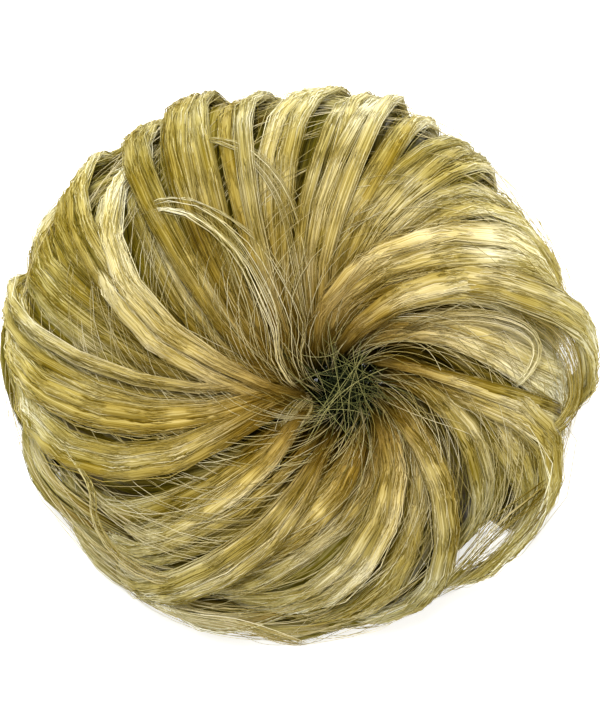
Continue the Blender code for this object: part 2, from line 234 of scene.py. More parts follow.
def edge_distance(turn):
    """How far the outline lies from the well's axis, in the direction of turn degrees."""
    east, north = np.sin(np.radians(turn)), np.cos(np.radians(turn))
    half_x, half_y = OUTLINE_LENGTH / 2, OUTLINE_WIDTH / 2
    a = (east / half_x) ** 2 + (north / half_y) ** 2
    b = WELL_RIGHT * east / half_x**2 - WELL_FRONT * north / half_y**2
    c = (WELL_RIGHT / half_x) ** 2 + (WELL_FRONT / half_y) ** 2 - 1
    return (np.sqrt(b * b - a * c) - b) / a


def at(turn, distance, height):
    """Points that lie that far from the well's axis."""
    angle = np.radians(turn)
    return np.stack(
        np.broadcast_arrays(
            WELL[0] + distance * np.sin(angle), WELL[1] + distance * np.cos(angle), height
        ),
        axis=-1,
    )


def on_bun(turn, way, reach, lift=0.0):
    """Points on the bun: way 0 is in the well, 1/4 the crest, 1/2 the rim and 3/4 underneath."""
    angle = 2 * np.pi * way
    half_span = (reach * (edge_distance(turn) - WELL_RADIUS) - LOCK_THICKNESS / 3) / 2
    crest_rise = CREST_HEIGHT - 1.7 * LOCK_THICKNESS - RIM_HEIGHT
    half_height = np.where(np.sin(angle) > 0, crest_rise, RIM_HEIGHT)
    out_r, out_z = -np.cos(angle) / half_span, np.sin(angle) / half_height
    size = np.hypot(out_r, out_z)
    distance = WELL_RADIUS + half_span * (1 - np.cos(angle)) + lift * out_r / size
    height = RIM_HEIGHT + half_height * np.sin(angle) + lift * out_z / size
    return at(turn, distance, height)


def ring_reach(turn):
    """The gathered ring is narrower at the right, where light shows through the loops."""
    towards_right = np.maximum(0.0, np.cos(np.radians(turn - 95))) ** 0.7
    return RING_REACH_WIDE + (RING_REACH_NARROW - RING_REACH_WIDE) * towards_right


def smooth_values(places, values, place):
    """The values at place on a smooth curve through the given values."""
    places, values = np.asarray(places, float), np.asarray(values, float)
    i = np.clip(np.searchsorted(places, place, side="right") - 1, 0, len(places) - 2)
    before, after = np.maximum(np.arange(len(places)) - 1, 0), np.arange(len(places)) + 1
    after = np.minimum(after, len(places) - 1)
    slope = (values[after] - values[before]) / (places[after] - places[before])
    span = places[i + 1] - places[i]
    t = (place - places[i]) / span
    return (
        (2 * t**3 - 3 * t**2 + 1) * values[i]
        + (t**3 - 2 * t**2 + t) * span * slope[i]
        + (3 * t**2 - 2 * t**3) * values[i + 1]
        + (t**3 - t**2) * span * slope[i + 1]
    )


def unit(v):
    """The same directions with a length of one."""
    return v / np.maximum(np.linalg.norm(v, axis=-1, keepdims=True), 1e-12)


def framed(middle, outward):
    """A path with its directions: along it, across it in the skin, and out of the skin."""
    along = unit(np.gradient(middle, axis=0))
    across = unit(np.cross(along, outward))
    return {"middle": middle, "across": across, "up": np.cross(across, along)}


def lock_path(row, points=181):
    """The path of one swirl lock, with its half width and half thickness all along."""
    turns, (reach, width, lift) = np.degrees(np.unwrap(np.radians(row[:7]))), row[7:10]
    way = np.linspace(LOCK_START, LOCK_END, points)
    place = np.clip(way, 0.0, WAYS[-1])
    turn = smooth_values(WAYS, turns, place)
    fullness = smooth_values(WAYS, FULLNESS, place)
    stand = lift * LOCK_THICKNESS * np.maximum(0.0, np.sin(2 * np.pi * place)) ** 1.3
    tucked = np.clip((way - 0.5) / 0.19, 0.0, 1.0)
    here = reach + (ring_reach(turn) - reach) * tucked
    middle = on_bun(turn, way, here, stand)
    path = framed(middle, on_bun(turn, way, here, stand + 0.001) - middle)
    path["half_width"] = fullness * width * LOCK_WIDTH / 2
    path["half_thickness"] = LOCK_THICKNESS / 2 * (0.7 + 0.3 * fullness)
    return path


def wisp_path(places, width, lift, points=161):
    """The path of a thin wisp, through its places."""
    order = np.arange(len(places))
    index = np.linspace(0, len(places) - 1, points)
    turn = smooth_values(order, [place[0] for place in places], index)
    share = smooth_values(order, [place[1] for place in places], index)
    way = np.arccos(1 - 2 * np.clip(share, 0.0, 1.0)) / (2 * np.pi)
    stand = (0.4 + 0.6 * lift) * LOCK_THICKNESS
    middle = on_bun(turn, way, 0.97, stand)
    path = framed(middle, on_bun(turn, way, 0.97, stand + 0.001) - middle)
    belly = 0.15 + 0.85 * np.sin(np.pi * np.linspace(0, 1, points) ** 0.7)
    path["half_width"] = width * LOCK_WIDTH / 2 * belly
    path["half_thickness"] = LOCK_THICKNESS / 4 * belly
    return path


def rim_path(row, points=121):
    """The path of one lock of the lower tier."""
    turn_from, turn_to, reach_from, reach_middle, reach_to, height, width, _ = row
    share = np.linspace(0, 1, points)
    turn = turn_from + (turn_to - turn_from) * share
    reach = smooth_values((0.0, 0.5, 1.0), (reach_from, reach_middle, reach_to), share)
    distance = reach * edge_distance(turn) - LOCK_THICKNESS / 2
    middle = at(turn, distance, height * RIM_TIER_HEIGHT)
    path = framed(middle, at(turn, 1.0, 0.0) - at(turn, 0.0, 0.0))
    belly = np.sin(np.pi * share) ** 0.5
    path["half_width"] = width * LOCK_WIDTH / 2 * (0.45 + 0.55 * belly)
    path["half_thickness"] = LOCK_THICKNESS / 2 * (0.8 + 0.4 * belly)
    return path


def under_path(number, points=81):
    """The path of one of the returns underneath."""
    share = np.linspace(0, 1, points)
    way = 0.54 + 0.25 * share
    turn = 360 * number / UNDER_LOCKS + UNDER_SWIRL_DEG * share
    reach = ring_reach(turn) + 0.06 * (1 - share)
    middle = on_bun(turn, way, reach)
    path = framed(middle, on_bun(turn, way, reach, 0.001) - middle)
    path["half_width"] = LOCK_WIDTH * (0.62 - 0.20 * share)
    path["half_thickness"] = LOCK_THICKNESS / 2 * np.ones(points)
    return path


def along_path(path, key, share):
    """A quantity of the path at each share of its length."""
    values = path[key]
    place = share * (len(values) - 1)
    low = np.clip(place.astype(int), 0, len(values) - 2)
    t = place - low
    if values.ndim > 1:
        t = t[..., None]
    return values[low] * (1 - t) + values[low + 1] * t


def wander(count, share, size, waves):
    """Smooth random drift along each of count strands."""
    out = np.zeros((count, share.shape[-1]))
    for wave in waves:
        phase = chance.uniform(0, 2 * np.pi, (count, 1))
        out += chance.normal(0, size, (count, 1)) * np.sin(np.pi * wave * share + phase) / wave
    return out


def strands_in(path, share, u, v):
    """Points at the places u across the path and v out of it, as shares of its half sizes."""
    aside = u * along_path(path, "half_width", share)
    outward = v * along_path(path, "half_thickness", share)
    return (
        along_path(path, "middle", share)
        + along_path(path, "across", share) * aside[..., None]
        + along_path(path, "up", share) * outward[..., None]
    )


# Where the points of a strand lie along it: evenly, or closer together round the rim
EVEN = np.linspace(0, 1, STATIONS)
RIM_FINE = np.array((0, 0.09, 0.18, 0.27, 0.37, 0.47, 0.56, 0.64, 0.71, 0.78, 0.85, 0.92, 1.0))


def sub_locks(width):
    """How a lock is made up: each part's drift across it, its own width, height and tone."""
    count = max(1, round(3.4 * width + 0.4))
    middles = (np.arange(count) + 0.5) / count * 2 - 1
    return [
        {
            "u": 0.66 * middle + chance.normal(0, 0.08),
            "v": chance.uniform(-0.35, 0.60),
            "swing": chance.uniform(0.12, 0.34) * chance.choice((-1, 1)),
            "phase": chance.uniform(0, 2 * np.pi),
            "wide": min(1.0, 1.15 / count + 0.08),
            "tone": chance.normal(0, 0.11),
            "gold": chance.normal(0, 0.18),
        }
        for middle in middles
    ]


def drift(part, share):
    """Where the middle of a part of a lock lies across it, and how high."""
    u = part["u"] + part["swing"] * np.sin(2.3 * np.pi * share + part["phase"])
    v = part["v"] + 0.25 * np.sin(2.9 * np.pi * share + 1.7 * part["phase"])
    return u, v


def bundle(path, count, tone, gold, parts, loose, thickness=STRAND_RADIUS, places=EVEN):
    """Strands that follow the parts of a lock, gathered in clumps, some of them loose."""
    # The strands don't all start and end together
    share = places[None, :].repeat(count, 0)
    starts = chance.uniform(0.0, 0.05, (count, 1))
    ends = chance.uniform(0.93, 1.0, (count, 1))
    share = starts + (ends - starts) * share
    pick = chance.integers(0, len(parts), count)
    u, v = np.zeros(share.shape), np.zeros(share.shape)
    tones, golds = np.full(count, float(tone)), np.full(count, float(gold))
    # Most lie in the upper half of their part, near its skin, drawn together in clumps
    side = np.where(chance.random(count) < 0.80, 1.0, -1.0)
    turn = chance.uniform(0, np.pi, count) * side
    depth = np.sqrt(chance.uniform(0.55, 1.05, count))
    clump = chance.integers(0, CLUMPS, count)
    clump_turn = chance.uniform(0.2, np.pi - 0.2, (len(parts), CLUMPS))
    clump_tone = chance.normal(0, 0.09, (len(parts), CLUMPS))
    pull = 0.35 * np.sin(np.pi * share) * chance.uniform(0.2, 1.0, (count, 1))
    for number, part in enumerate(parts):
        mine = pick == number
        middle_u, middle_v = drift(part, share[mine])
        a, d, k = turn[mine][:, None], depth[mine][:, None], clump[mine]
        toward = clump_turn[number][k][:, None] * side[mine][:, None]
        a = a * (1 - pull[mine]) + toward * pull[mine]
        u[mine] = middle_u + part["wide"] * np.cos(a) * d
        v[mine] = middle_v + 0.52 * np.sin(a) * d
        tones[mine] += part["tone"] + clump_tone[number][k]
        golds[mine] += part["gold"]
    u = u + wander(count, share, 0.10, (1.0, 2.3, 3.7))
    v = v + wander(count, share, 0.09, (1.3, 3.1))
    # The loose ones wander further, stand off the lock, and are thinner and darker
    stray = (chance.random(count) < loose)[:, None]
    u = u + stray * wander(count, share, 0.36, (0.9, 1.9))
    phase = chance.uniform(0, 6.3, (count, 1))
    v = v + stray * (0.12 + 0.25 * np.sin(np.pi * share + phase))
    points = strands_in(path, share, u, v)
    radius = thickness * chance.uniform(0.75, 1.25, count)
    radius = radius * np.where(stray[:, 0], 0.52, 1.0)
    return {
        "points": points,
        "up": along_path(path, "up", share),
        "radius": radius,
        "tone": tones + chance.normal(0, 0.11, count) - 0.16 * stray[:, 0],
        "gold": golds + chance.normal(0, 0.12, count),
        "share": share,
    }


def cores(path, parts, tone, gold, stations=22, sides=7):
    """The close-packed inside of each part of a lock, as closed lens-shaped tubes."""
    share = np.linspace(0.02, 0.97, stations)
    taper = np.sin(np.pi * np.linspace(0.04, 0.96, stations)) ** 0.35
    angle = np.arange(sides) * 2 * np.pi / sides
    rings = []
    for part in parts:
        u, v = drift(part, share)
        across = u[:, None] + 0.92 * part["wide"] * taper[:, None] * np.cos(angle)
        height = v[:, None] + 0.45 * taper[:, None] * np.sin(angle)
        ring = strands_in(path, share[:, None].repeat(sides, 1), across, height)
        rings.append({"ring": ring, "tone": tone + part["tone"], "gold": gold + part["gold"]})
    return rings


def core_mesh(name, rings, material):
    """One mesh of all the cores, with a flow map that runs along them."""
    verts, faces, uvs, colours = [], [], [], []
    for number, core in enumerate(rings):
        ring = core["ring"]
        stations, sides = ring.shape[:2]
        base = len(verts)
        first_u = number * 0.37
        points = ring.reshape(-1, 3).copy()
        points[:, 2] = np.maximum(points[:, 2], LOWEST_CORE)
        verts += points.tolist()
        for i in range(stations):
            share = i / (stations - 1)
            colours += [(core["tone"], 0.02 + 0.95 * share, core["gold"], 1.0)] * sides
        for i in range(stations - 1):
            for k in range(sides):
                n = (k + 1) % sides
                low, high = base + i * sides, base + (i + 1) * sides
                faces.append((low + k, high + k, high + n, low + n))
                left, right = first_u + k / sides, first_u + (k + 1) / sides
                near, far = i / stations, (i + 1) / stations
                uvs += [(left, near), (left, far), (right, far), (right, near)]
        faces.append(tuple(base + k for k in range(sides)))
        uvs += [(first_u + k / sides, 0.0) for k in range(sides)]
        last = base + (stations - 1) * sides
        faces.append(tuple(last + k for k in range(sides))[::-1])
        uvs += [(first_u + k / sides, 1.0) for k in range(sides)][::-1]
    mesh = bpy.data.meshes.new(name)
    mesh.from_pydata(verts, [], faces)
    mesh.polygons.foreach_set("use_smooth", np.ones(len(faces), bool))
    layer = mesh.uv_layers.new(name="flow")
    layer.uv.foreach_set("vector", np.array(uvs, np.float32).reshape(-1))
    attribute = mesh.attributes.new("strand", "FLOAT_COLOR", "POINT")
    attribute.data.foreach_set("color", np.array(colours, np.float32).reshape(-1))
    mesh.update()
    mesh.materials.append(material)
    new_piece(name, mesh)


def joined(bundles):
    """One set of strands from several."""
    return {key: np.concatenate([b[key] for b in bundles]) for key in bundles[0]}


def tubes(name, strands, material):
    """One mesh of closed three-sided strands that come to a point at both ends."""
    points, count = strands["points"], len(strands["points"])
    points = points.copy()
    points[..., 2] = np.maximum(points[..., 2], strands["radius"][:, None] * 1.1)
    along = unit(np.gradient(points, axis=1))
    side = unit(np.cross(along, strands["up"]))
    up = np.cross(side, along)
    rings = STATIONS - 2
    taper = 0.55 + 0.45 * np.sin(np.pi * np.linspace(0, 1, STATIONS)) ** 0.5
    radius = (strands["radius"][:, None] * taper)[:, 1:-1, None, None]
    angle = np.radians((90, 210, 330))
    corners = points[:, 1:-1, None] + radius * (
        np.cos(angle)[:, None] * side[:, 1:-1, None] + np.sin(angle)[:, None] * up[:, 1:-1, None]
    )
    verts = np.concatenate([corners.reshape(count, -1, 3), points[:, :1], points[:, -1:]], axis=1)
    per = 3 * rings + 2

    # The faces of one strand, with its own places on the map
    quads, quad_uv, ends, end_uv = [], [], [], []
    for k in range(rings - 1):
        for c in range(3):
            n = (c + 1) % 3
            quads.append((3 * k + c, 3 * k + 3 + c, 3 * k + 3 + n, 3 * k + n))
            quad_uv.append(((c, k + 1), (c, k + 2), (c + 1, k + 2), (c + 1, k + 1)))
    for c in range(3):
        n = (c + 1) % 3
        last = 3 * (rings - 1)
        ends.append((c, n, per - 2))
        end_uv.append(((c, 1), (c + 1, 1), (c + 0.5, 0)))
        ends.append((last + n, last + c, per - 1))
        end_uv.append(((c + 1, rings), (c, rings), (c + 0.5, rings + 1)))

    # The same faces for all strands
    offsets = (np.arange(count) * per)[:, None]
    loops = np.concatenate([np.array(quads).reshape(-1), np.array(ends).reshape(-1)])
    loops = (offsets + loops[None]).reshape(-1)
    sizes = np.tile([4] * len(quads) + [3] * len(ends), count)
    starts = np.concatenate([[0], np.cumsum(sizes)[:-1]])
    local = np.concatenate([np.array(quad_uv).reshape(-1, 2), np.array(end_uv).reshape(-1, 2)])

    mesh = bpy.data.meshes.new(name)
    mesh.vertices.add(count * per)
    mesh.vertices.foreach_set("co", verts.reshape(-1).astype(np.float32))
    mesh.loops.add(len(loops))
    mesh.loops.foreach_set("vertex_index", loops.astype(np.int32))
    mesh.polygons.add(len(sizes))
    mesh.polygons.foreach_set("loop_start", starts.astype(np.int32))
    mesh.polygons.foreach_set("use_smooth", np.ones(len(sizes), bool))

    # Each strand has a cell of its own on the map
    rows = max(1, round(math.sqrt(count / 6)))
    columns = math.ceil(count / rows)
    cell = np.stack([np.arange(count) % columns, np.arange(count) // columns], axis=1)
    inner = local / (3, rings + 1) * 0.8 + 0.1
    uv = (cell[:, None] + inner[None]) / (columns, rows)
    layer = mesh.uv_layers.new(name="OFBake")
    layer.uv.foreach_set("vector", uv.reshape(-1).astype(np.float32))

    # The values that the materials read
    share = strands["share"]
    share = np.concatenate(
        [np.repeat(share[:, 1:-1], 3, axis=1), share[:, :1], share[:, -1:]], axis=1
    )
    colour = np.ones((count, per, 4), np.float32)
    colour[..., 0] = strands["tone"][:, None]
    colour[..., 1] = share
    colour[..., 2] = strands["gold"][:, None]
    attribute = mesh.attributes.new("strand", "FLOAT_COLOR", "POINT")
    attribute.data.foreach_set("color", colour.reshape(-1))
    mesh.update(calc_edges=True)
    mesh.materials.append(material)
    new_piece(name, mesh)


def new_piece(name, mesh):
    """A piece of the visual model, which rides on the part's one body."""
    obj = bpy.data.objects.new(name, mesh)
    bpy.context.scene.collection.objects.link(obj)
    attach(obj, "root")
    return obj


def new_material(name, roughness):
    """A material with its nodes, their links and its shader."""
    material = bpy.data.materials.new(name)
    material.use_nodes = True
    nodes, links = material.node_tree.nodes, material.node_tree.links
    shader = nodes["Principled BSDF"]
    shader.inputs["Roughness"].default_value = roughness
    return material, nodes, links, shader


# Colours of the hair from dark to pale, ash and yellow
ASH = (
    (0.0, (0.045, 0.041, 0.003)),
    (0.3, (0.158, 0.129, 0.011)),
    (0.6, (0.382, 0.333, 0.130)),
    (0.85, (0.665, 0.622, 0.408)),
    (1.0, (0.860, 0.830, 0.650)),
)
YELLOW = (
    (0.0, (0.060, 0.037, 0.002)),
    (0.3, (0.198, 0.136, 0.006)),
    (0.6, (0.428, 0.346, 0.088)),
    (0.85, (0.680, 0.612, 0.325)),
    (1.0, (0.870, 0.815, 0.530)),
)
# Painted light and shade that they are multiplied by along a lock: painted shade of the well at the
# roots, painted light over the rim, and painted shade underneath at the tucked ends
PAINTED_SHADE_AND_LIGHT = (
    (0.0, (0.02, 0.028, 0.010)),
    (0.11, (0.045, 0.050, 0.012)),
    (0.18, (0.15, 0.100, 0.016)),
    (0.27, (0.44, 0.330, 0.145)),
    (0.38, (0.66, 0.585, 0.430)),
    (0.50, (0.76, 0.720, 0.630)),
    (0.60, (1.0, 1.0, 0.98)),
    (0.69, (1.28, 1.32, 1.50)),
    (0.80, (1.24, 1.28, 1.45)),
    (1.0, (0.85, 0.78, 0.62)),
)
# Colours of the strands over the well by their tone: painted shade of the well, near black and greenish
# low down, paler higher up
WELL_PAINTED_SHADE = (
    (0.0, (0.002, 0.003, 0.001)),
    (0.25, (0.010, 0.015, 0.007)),
    (0.5, (0.036, 0.048, 0.019)),
    (0.75, (0.165, 0.168, 0.052)),
    (1.0, (0.460, 0.420, 0.165)),
)
# Dark stripes of the gathered ring under the locks: painted shade
RING_PAINTED_SHADE_STRIPES = (
    (0.30, (0.045, 0.030, 0.006)),
    (0.55, (0.130, 0.095, 0.020)),
    (0.80, (0.300, 0.235, 0.065)),
)


def ramp(nodes, stops):
    """A colour ramp from (position, colour) stops."""
    node = nodes.new("ShaderNodeValToRGB")
    elements = node.color_ramp.elements
    while len(elements) < len(stops):
        elements.new(0.5)
    for element, (position, colour) in zip(elements, stops):
        element.position = position
        element.color = (*colour, 1.0)
    return node


def mixed(nodes, links, factor, a, b, mode="MIX"):
    """The colour a mixed with b. Each is a socket or a colour, and factor a socket or a number."""
    node = nodes.new("ShaderNodeMix")
    node.data_type = "RGBA"
    node.blend_type = mode
    for socket, value in ((node.inputs[0], factor), (node.inputs[6], a), (node.inputs[7], b)):
        if hasattr(value, "links"):
            links.new(value, socket)
        elif isinstance(value, (int, float)):
            socket.default_value = value
        else:
            socket.default_value = (*value, 1.0)
    return node.outputs[2]


def summed(nodes, links, value, times, plus, more=0.0):
    """value x times + plus + more, where value is a socket and plus a socket or a number."""
    node = nodes.new("ShaderNodeMath")
    node.operation = "MULTIPLY_ADD"
    links.new(value, node.inputs[0])
    node.inputs[1].default_value = times
    if hasattr(plus, "links"):
        links.new(plus, node.inputs[2])
    else:
        node.inputs[2].default_value = plus
    if not more:
        return node.outputs["Value"]
    return summed(nodes, links, node.outputs["Value"], 1.0, more)


def strand_values(nodes, links):
    """The values kept on the strands: tone as red, the share of the way along as green, gold as blue."""
    strand = nodes.new("ShaderNodeAttribute")
    strand.attribute_name = "strand"
    parts = nodes.new("ShaderNodeSeparateColor")
    links.new(strand.outputs["Color"], parts.inputs["Color"])
    return parts


def flow_noise(nodes, links, scale, detail):
    """Noise stretched along the flow map, which runs along the hair."""
    flow = nodes.new("ShaderNodeUVMap")
    flow.uv_map = "flow"
    stretch = nodes.new("ShaderNodeMapping")
    stretch.inputs["Scale"].default_value = scale
    links.new(flow.outputs["UV"], stretch.inputs["Vector"])
    noise = nodes.new("ShaderNodeTexNoise")
    links.new(stretch.outputs["Vector"], noise.inputs["Vector"])
    noise.inputs["Scale"].default_value = 1.0
    noise.inputs["Detail"].default_value = detail
    return noise


def add_bump(nodes, links, noise, shader, strength, depth):
    """Fine relief from the noise, so many metres deep."""
    bump = nodes.new("ShaderNodeBump")
    bump.inputs["Strength"].default_value = strength
    bump.inputs["Distance"].default_value = depth
    links.new(noise.outputs["Fac"], bump.inputs["Height"])
    links.new(bump.outputs["Normal"], shader.inputs["Normal"])


def hair_material(name, striped):
    """Blond fibre: tone and gold vary from strand to strand. The root ends are painted warm and dark as
    the shade of the well, the rim is painted lighter as lit, and the tucked ends are painted darker as
    shaded.
    """
    material, nodes, links, shader = new_material(name, 0.40)
    shader.inputs["Specular IOR Level"].default_value = 0.18 if striped else 0.06
    shader.inputs["Specular Tint"].default_value = (1.0, 0.86, 0.45, 1.0)
    parts = strand_values(nodes, links)

    if striped:
        noise = flow_noise(nodes, links, (30.0, 1.5, 1.0), 3.0)
        add_bump(nodes, links, noise, shader, 0.5, 0.0002)
    else:
        noise = nodes.new("ShaderNodeTexNoise")
        noise.inputs["Scale"].default_value = 90.0
        noise.inputs["Detail"].default_value = 2.0
    place = nodes.new("ShaderNodeTexCoord")
    broad = nodes.new("ShaderNodeTexNoise")
    broad.inputs["Scale"].default_value = 75.0
    broad.inputs["Detail"].default_value = 1.0
    links.new(place.outputs["Object"], broad.inputs["Vector"])
    # The tone is the strand's own, with fine and broad changes. The gold has broad ones only
    # The striped cores are painted a little darker, as the shade inside a lock
    contrast, darker = (1.1, 0.02) if striped else (0.30, 0.0)
    shift = summed(nodes, links, noise.outputs["Fac"], contrast, -contrast / 2 - darker)
    shift = summed(nodes, links, broad.outputs["Fac"], 0.50, shift, -0.26)
    tone = summed(nodes, links, parts.outputs["Red"], 1.0, shift)
    gold = summed(nodes, links, broad.outputs["Fac"], -1.0, parts.outputs["Blue"], 0.55)

    ash = ramp(nodes, ASH)
    yellow = ramp(nodes, YELLOW)
    links.new(tone, ash.inputs["Fac"])
    links.new(tone, yellow.inputs["Fac"])
    body = mixed(nodes, links, gold, ash.outputs["Color"], yellow.outputs["Color"])

    # Painted shade at the roots and the tucked ends, and painted light round the rim, by the share along
    # the lock
    shade = ramp(nodes, PAINTED_SHADE_AND_LIGHT)
    links.new(parts.outputs["Green"], shade.inputs["Fac"])
    shaded = mixed(nodes, links, 1.0, body, shade.outputs["Color"], "MULTIPLY")
    links.new(shaded, shader.inputs["Base Color"])

    gloss = summed(nodes, links, noise.outputs["Fac"], 0.16, 0.32)
    links.new(gloss, shader.inputs["Roughness"])
    return material


def well_material():
    """The strands that cross the well: painted dark and greenish as its shade."""
    material, nodes, links, shader = new_material("well_hair", 0.6)
    shader.inputs["Specular IOR Level"].default_value = 0.0
    parts = strand_values(nodes, links)
    shades = ramp(nodes, WELL_PAINTED_SHADE)
    links.new(parts.outputs["Red"], shades.inputs["Fac"])
    links.new(shades.outputs["Color"], shader.inputs["Base Color"])
    return material


def bed_material():
    """The hair under the locks, painted dark as their shade: fine dark stripes that follow the swirl."""
    material, nodes, links, shader = new_material("shaded_hair", 0.62)
    noise = flow_noise(nodes, links, (420.0, 5.0, 1.0), 4.0)
    stripes = ramp(nodes, RING_PAINTED_SHADE_STRIPES)
    links.new(noise.outputs["Fac"], stripes.inputs["Fac"])
    links.new(stripes.outputs["Color"], shader.inputs["Base Color"])
    add_bump(nodes, links, noise, shader, 0.6, 0.0004)
    return material


def thread_material(name, dark, light, roughness, scale):
    """Woven thread: fine crossing ribs in two tones."""
    material, nodes, links, shader = new_material(name, roughness)
    noise = nodes.new("ShaderNodeTexNoise")
    noise.inputs["Scale"].default_value = scale
    noise.inputs["Detail"].default_value = 3.0
    tones = ramp(nodes, ((0.30, dark), (0.72, light)))
    links.new(noise.outputs["Fac"], tones.inputs["Fac"])
    links.new(tones.outputs["Color"], shader.inputs["Base Color"])
    add_bump(nodes, links, noise, shader, 0.5, 0.0002)
    return material


def grid_mesh(name, rows, uv=None):
    """A closed ring of closed sections, from an array (turns, sides, 3)."""
    turns, sides = rows.shape[:2]
    i, k = np.meshgrid(np.arange(turns), np.arange(sides), indexing="ij")
    n, m = (i + 1) % turns, (k + 1) % sides
    faces = np.stack([i * sides + k, i * sides + m, n * sides + m, n * sides + k], axis=-1)
    mesh = bpy.data.meshes.new(name)
    mesh.from_pydata(rows.reshape(-1, 3).tolist(), [], faces.reshape(-1, 4).tolist())
    mesh.polygons.foreach_set("use_smooth", np.ones(turns * sides, bool))
    if uv:
        corner_u = np.stack([i, i, i + 1, i + 1], axis=-1) / turns
        corner_v = np.stack([k, k + 1, k + 1, k], axis=-1) / sides
        layer = mesh.uv_layers.new(name=uv)
        flow = np.stack([corner_u - 0.18 * corner_v, corner_v], axis=-1)
        layer.uv.foreach_set("vector", flow.reshape(-1).astype(np.float32))
    mesh.update()
    return mesh


def make_bed(material):
    """The gathered ring under the locks, hollowed underneath for the weft."""
    turns = 180
    turn = np.arange(turns) * 360 / turns
    seat = BAND_CORD_RADIUS + 2 * FIT_GAP + WEFT_WALL
    hollow = [
        # distance from the well's axis, height
        (BAND_RADIUS + seat + 0.0012, 0.0012),
        (BAND_RADIUS + seat, BAND_HEIGHT),
        (BAND_RADIUS + 0.7 * seat, BAND_HEIGHT + 0.7 * seat),
        (BAND_RADIUS, BAND_HEIGHT + seat),
        (BAND_RADIUS - 0.5 * seat, BAND_HEIGHT + 1.3 * seat),
        (0.0125, 0.0160),
        (WELL_RADIUS + 0.0004, 0.0190),
    ]
    ways = np.linspace(0.0, LOCK_END, 30)
    rows = []
    for way in ways:
        depth = RING_DEPTH * max(0.0, math.sin(2 * math.pi * way)) ** 0.5
        ripple = 0.0005 * np.sin(np.radians(turn * 23 + way * 900))
        rows.append(on_bun(turn, way, ring_reach(turn), -depth + ripple))
    for distance, height in hollow:
        rows.append(at(turn, distance, height))
    rows = np.stack(rows, axis=1)
    rows[..., 2] = np.maximum(rows[..., 2], LOWEST_RING)
    mesh = grid_mesh("gathered_hair", rows, "flow")
    mesh.materials.append(material)
    piece = new_piece("gathered_hair", mesh)
    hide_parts("hair_locks")


def make_braided_elastic(material):
    """The elastic cord, with the slanting ribs of its woven cover."""
    turns, sides = 240, 14
    turn, side = np.meshgrid(
        np.arange(turns) * 360 / turns, np.arange(sides) * 2 * np.pi / sides, indexing="ij"
    )
    crossing = np.radians(turn) * 90
    ribs = 0.00007 * np.cos(crossing + side * 3) * np.cos(crossing - side * 3)
    radius = BAND_CORD_RADIUS - 0.0001 + ribs
    rows = at(turn, BAND_RADIUS + radius * np.cos(side), BAND_HEIGHT + radius * np.sin(side))
    mesh = grid_mesh("braided_elastic", rows[:, ::-1])
    mesh.materials.append(material)
    piece = new_piece("braided_elastic", mesh)
    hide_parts("elastic_band")


def make_sewn_weft(material):
    """The track round the cord, with its rows of stitches."""
    turns = 225
    inner = BAND_CORD_RADIUS + FIT_GAP
    angles = np.radians(np.linspace(-125, 125, 15))
    turn = np.arange(turns) * 360 / turns
    rib = 0.00014 * np.cos(np.radians(turn * 75))
    rows = []
    outer_side = [(angle, inner + WEFT_WALL - 0.0002) for angle in angles]
    inner_side = [(angle, inner + 0.00005) for angle in angles[::-1]]
    for number, (angle, radius) in enumerate(outer_side + inner_side):
        if number < len(angles):
            radius = radius + rib * (1.0 if abs(angle) < 1.6 else 0.3)
        distance = BAND_RADIUS + radius * np.cos(angle)
        rows.append(at(turn, distance, BAND_HEIGHT + radius * np.sin(angle)))
    mesh = grid_mesh("sewn_weft", np.stack(rows, axis=1)[:, ::-1])
    mesh.materials.append(material)
    piece = new_piece("sewn_weft", mesh)
    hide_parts("weft_track")


def arched(start, end, lift, count):
    """Strands that go from start to end in a low arch, as points and the upward direction."""
    share = EVEN[None, :, None]
    points = start[:, None] * (1 - share) + end[:, None] * share
    points = points + np.array((0, 0, 1.0)) * (lift[:, None, None] * 4 * share * (1 - share))
    flat_share = EVEN[None].repeat(count, 0)
    for axis, size in ((0, 0.0011), (1, 0.0011), (2, 0.0007)):
        points[..., axis] += wander(count, flat_share, size, (1.2, 2.6))
    up = np.zeros_like(points)
    up[..., 2] = 1.0
    return points, up, flat_share


def well_strands(count, low, high, tone, radius):
    """Loose strands that cross the well between the heights low and high."""
    first = chance.uniform(0, 360, count)
    second = first + 180 + chance.normal(0, 55, count)
    reach = chance.uniform(0.75, 1.5, count)
    height = chance.uniform(low, high, count)
    drop = chance.normal(0, 0.002, count)
    start = at(first, WELL_RADIUS * 1.15, height + drop)
    end = at(second, WELL_RADIUS * reach, height - drop)
    points, up, share = arched(start, end, chance.uniform(-0.003, 0.004, count), count)
    return {
        "points": points,
        "up": up,
        "radius": radius * chance.uniform(0.7, 1.3, count),
        "tone": tone + chance.normal(0, 0.10, count),
        "gold": np.zeros(count),
        "share": share,
    }


def crossing_strands(count, ways, heights, tone):
    """Fine strands that lie over the roots of two locks and sag into the well between them."""
    turn = chance.uniform(0, 360, count)
    across = turn + 180 + chance.normal(0, 50, count)
    start = on_bun(turn, chance.uniform(*ways, count), 0.95, 0.0026)
    end = on_bun(across, chance.uniform(*ways, count), 0.95, 0.0026)
    sag = at(chance.uniform(0, 360, count), WELL_RADIUS * chance.uniform(0.2, 1.0, count), 0.0)
    sag[:, 2] = chance.uniform(*heights, count)
    share = EVEN[None, :, None]
    points = start[:, None] * (1 - share) ** 2 + end[:, None] * share**2
    points = points + 2 * sag[:, None] * share * (1 - share)
    flat_share = EVEN[None].repeat(count, 0)
    for axis in range(3):
        points[..., axis] += wander(count, flat_share, 0.0006, (1.4, 2.9))
    up = np.zeros_like(points)
    up[..., 2] = 1.0
    return {
        "points": points,
        "up": up,
        "radius": FINE_RADIUS * chance.uniform(0.7, 1.3, count),
        "tone": tone + chance.normal(0, 0.12, count),
        "gold": np.zeros(count),
        "share": flat_share,
    }


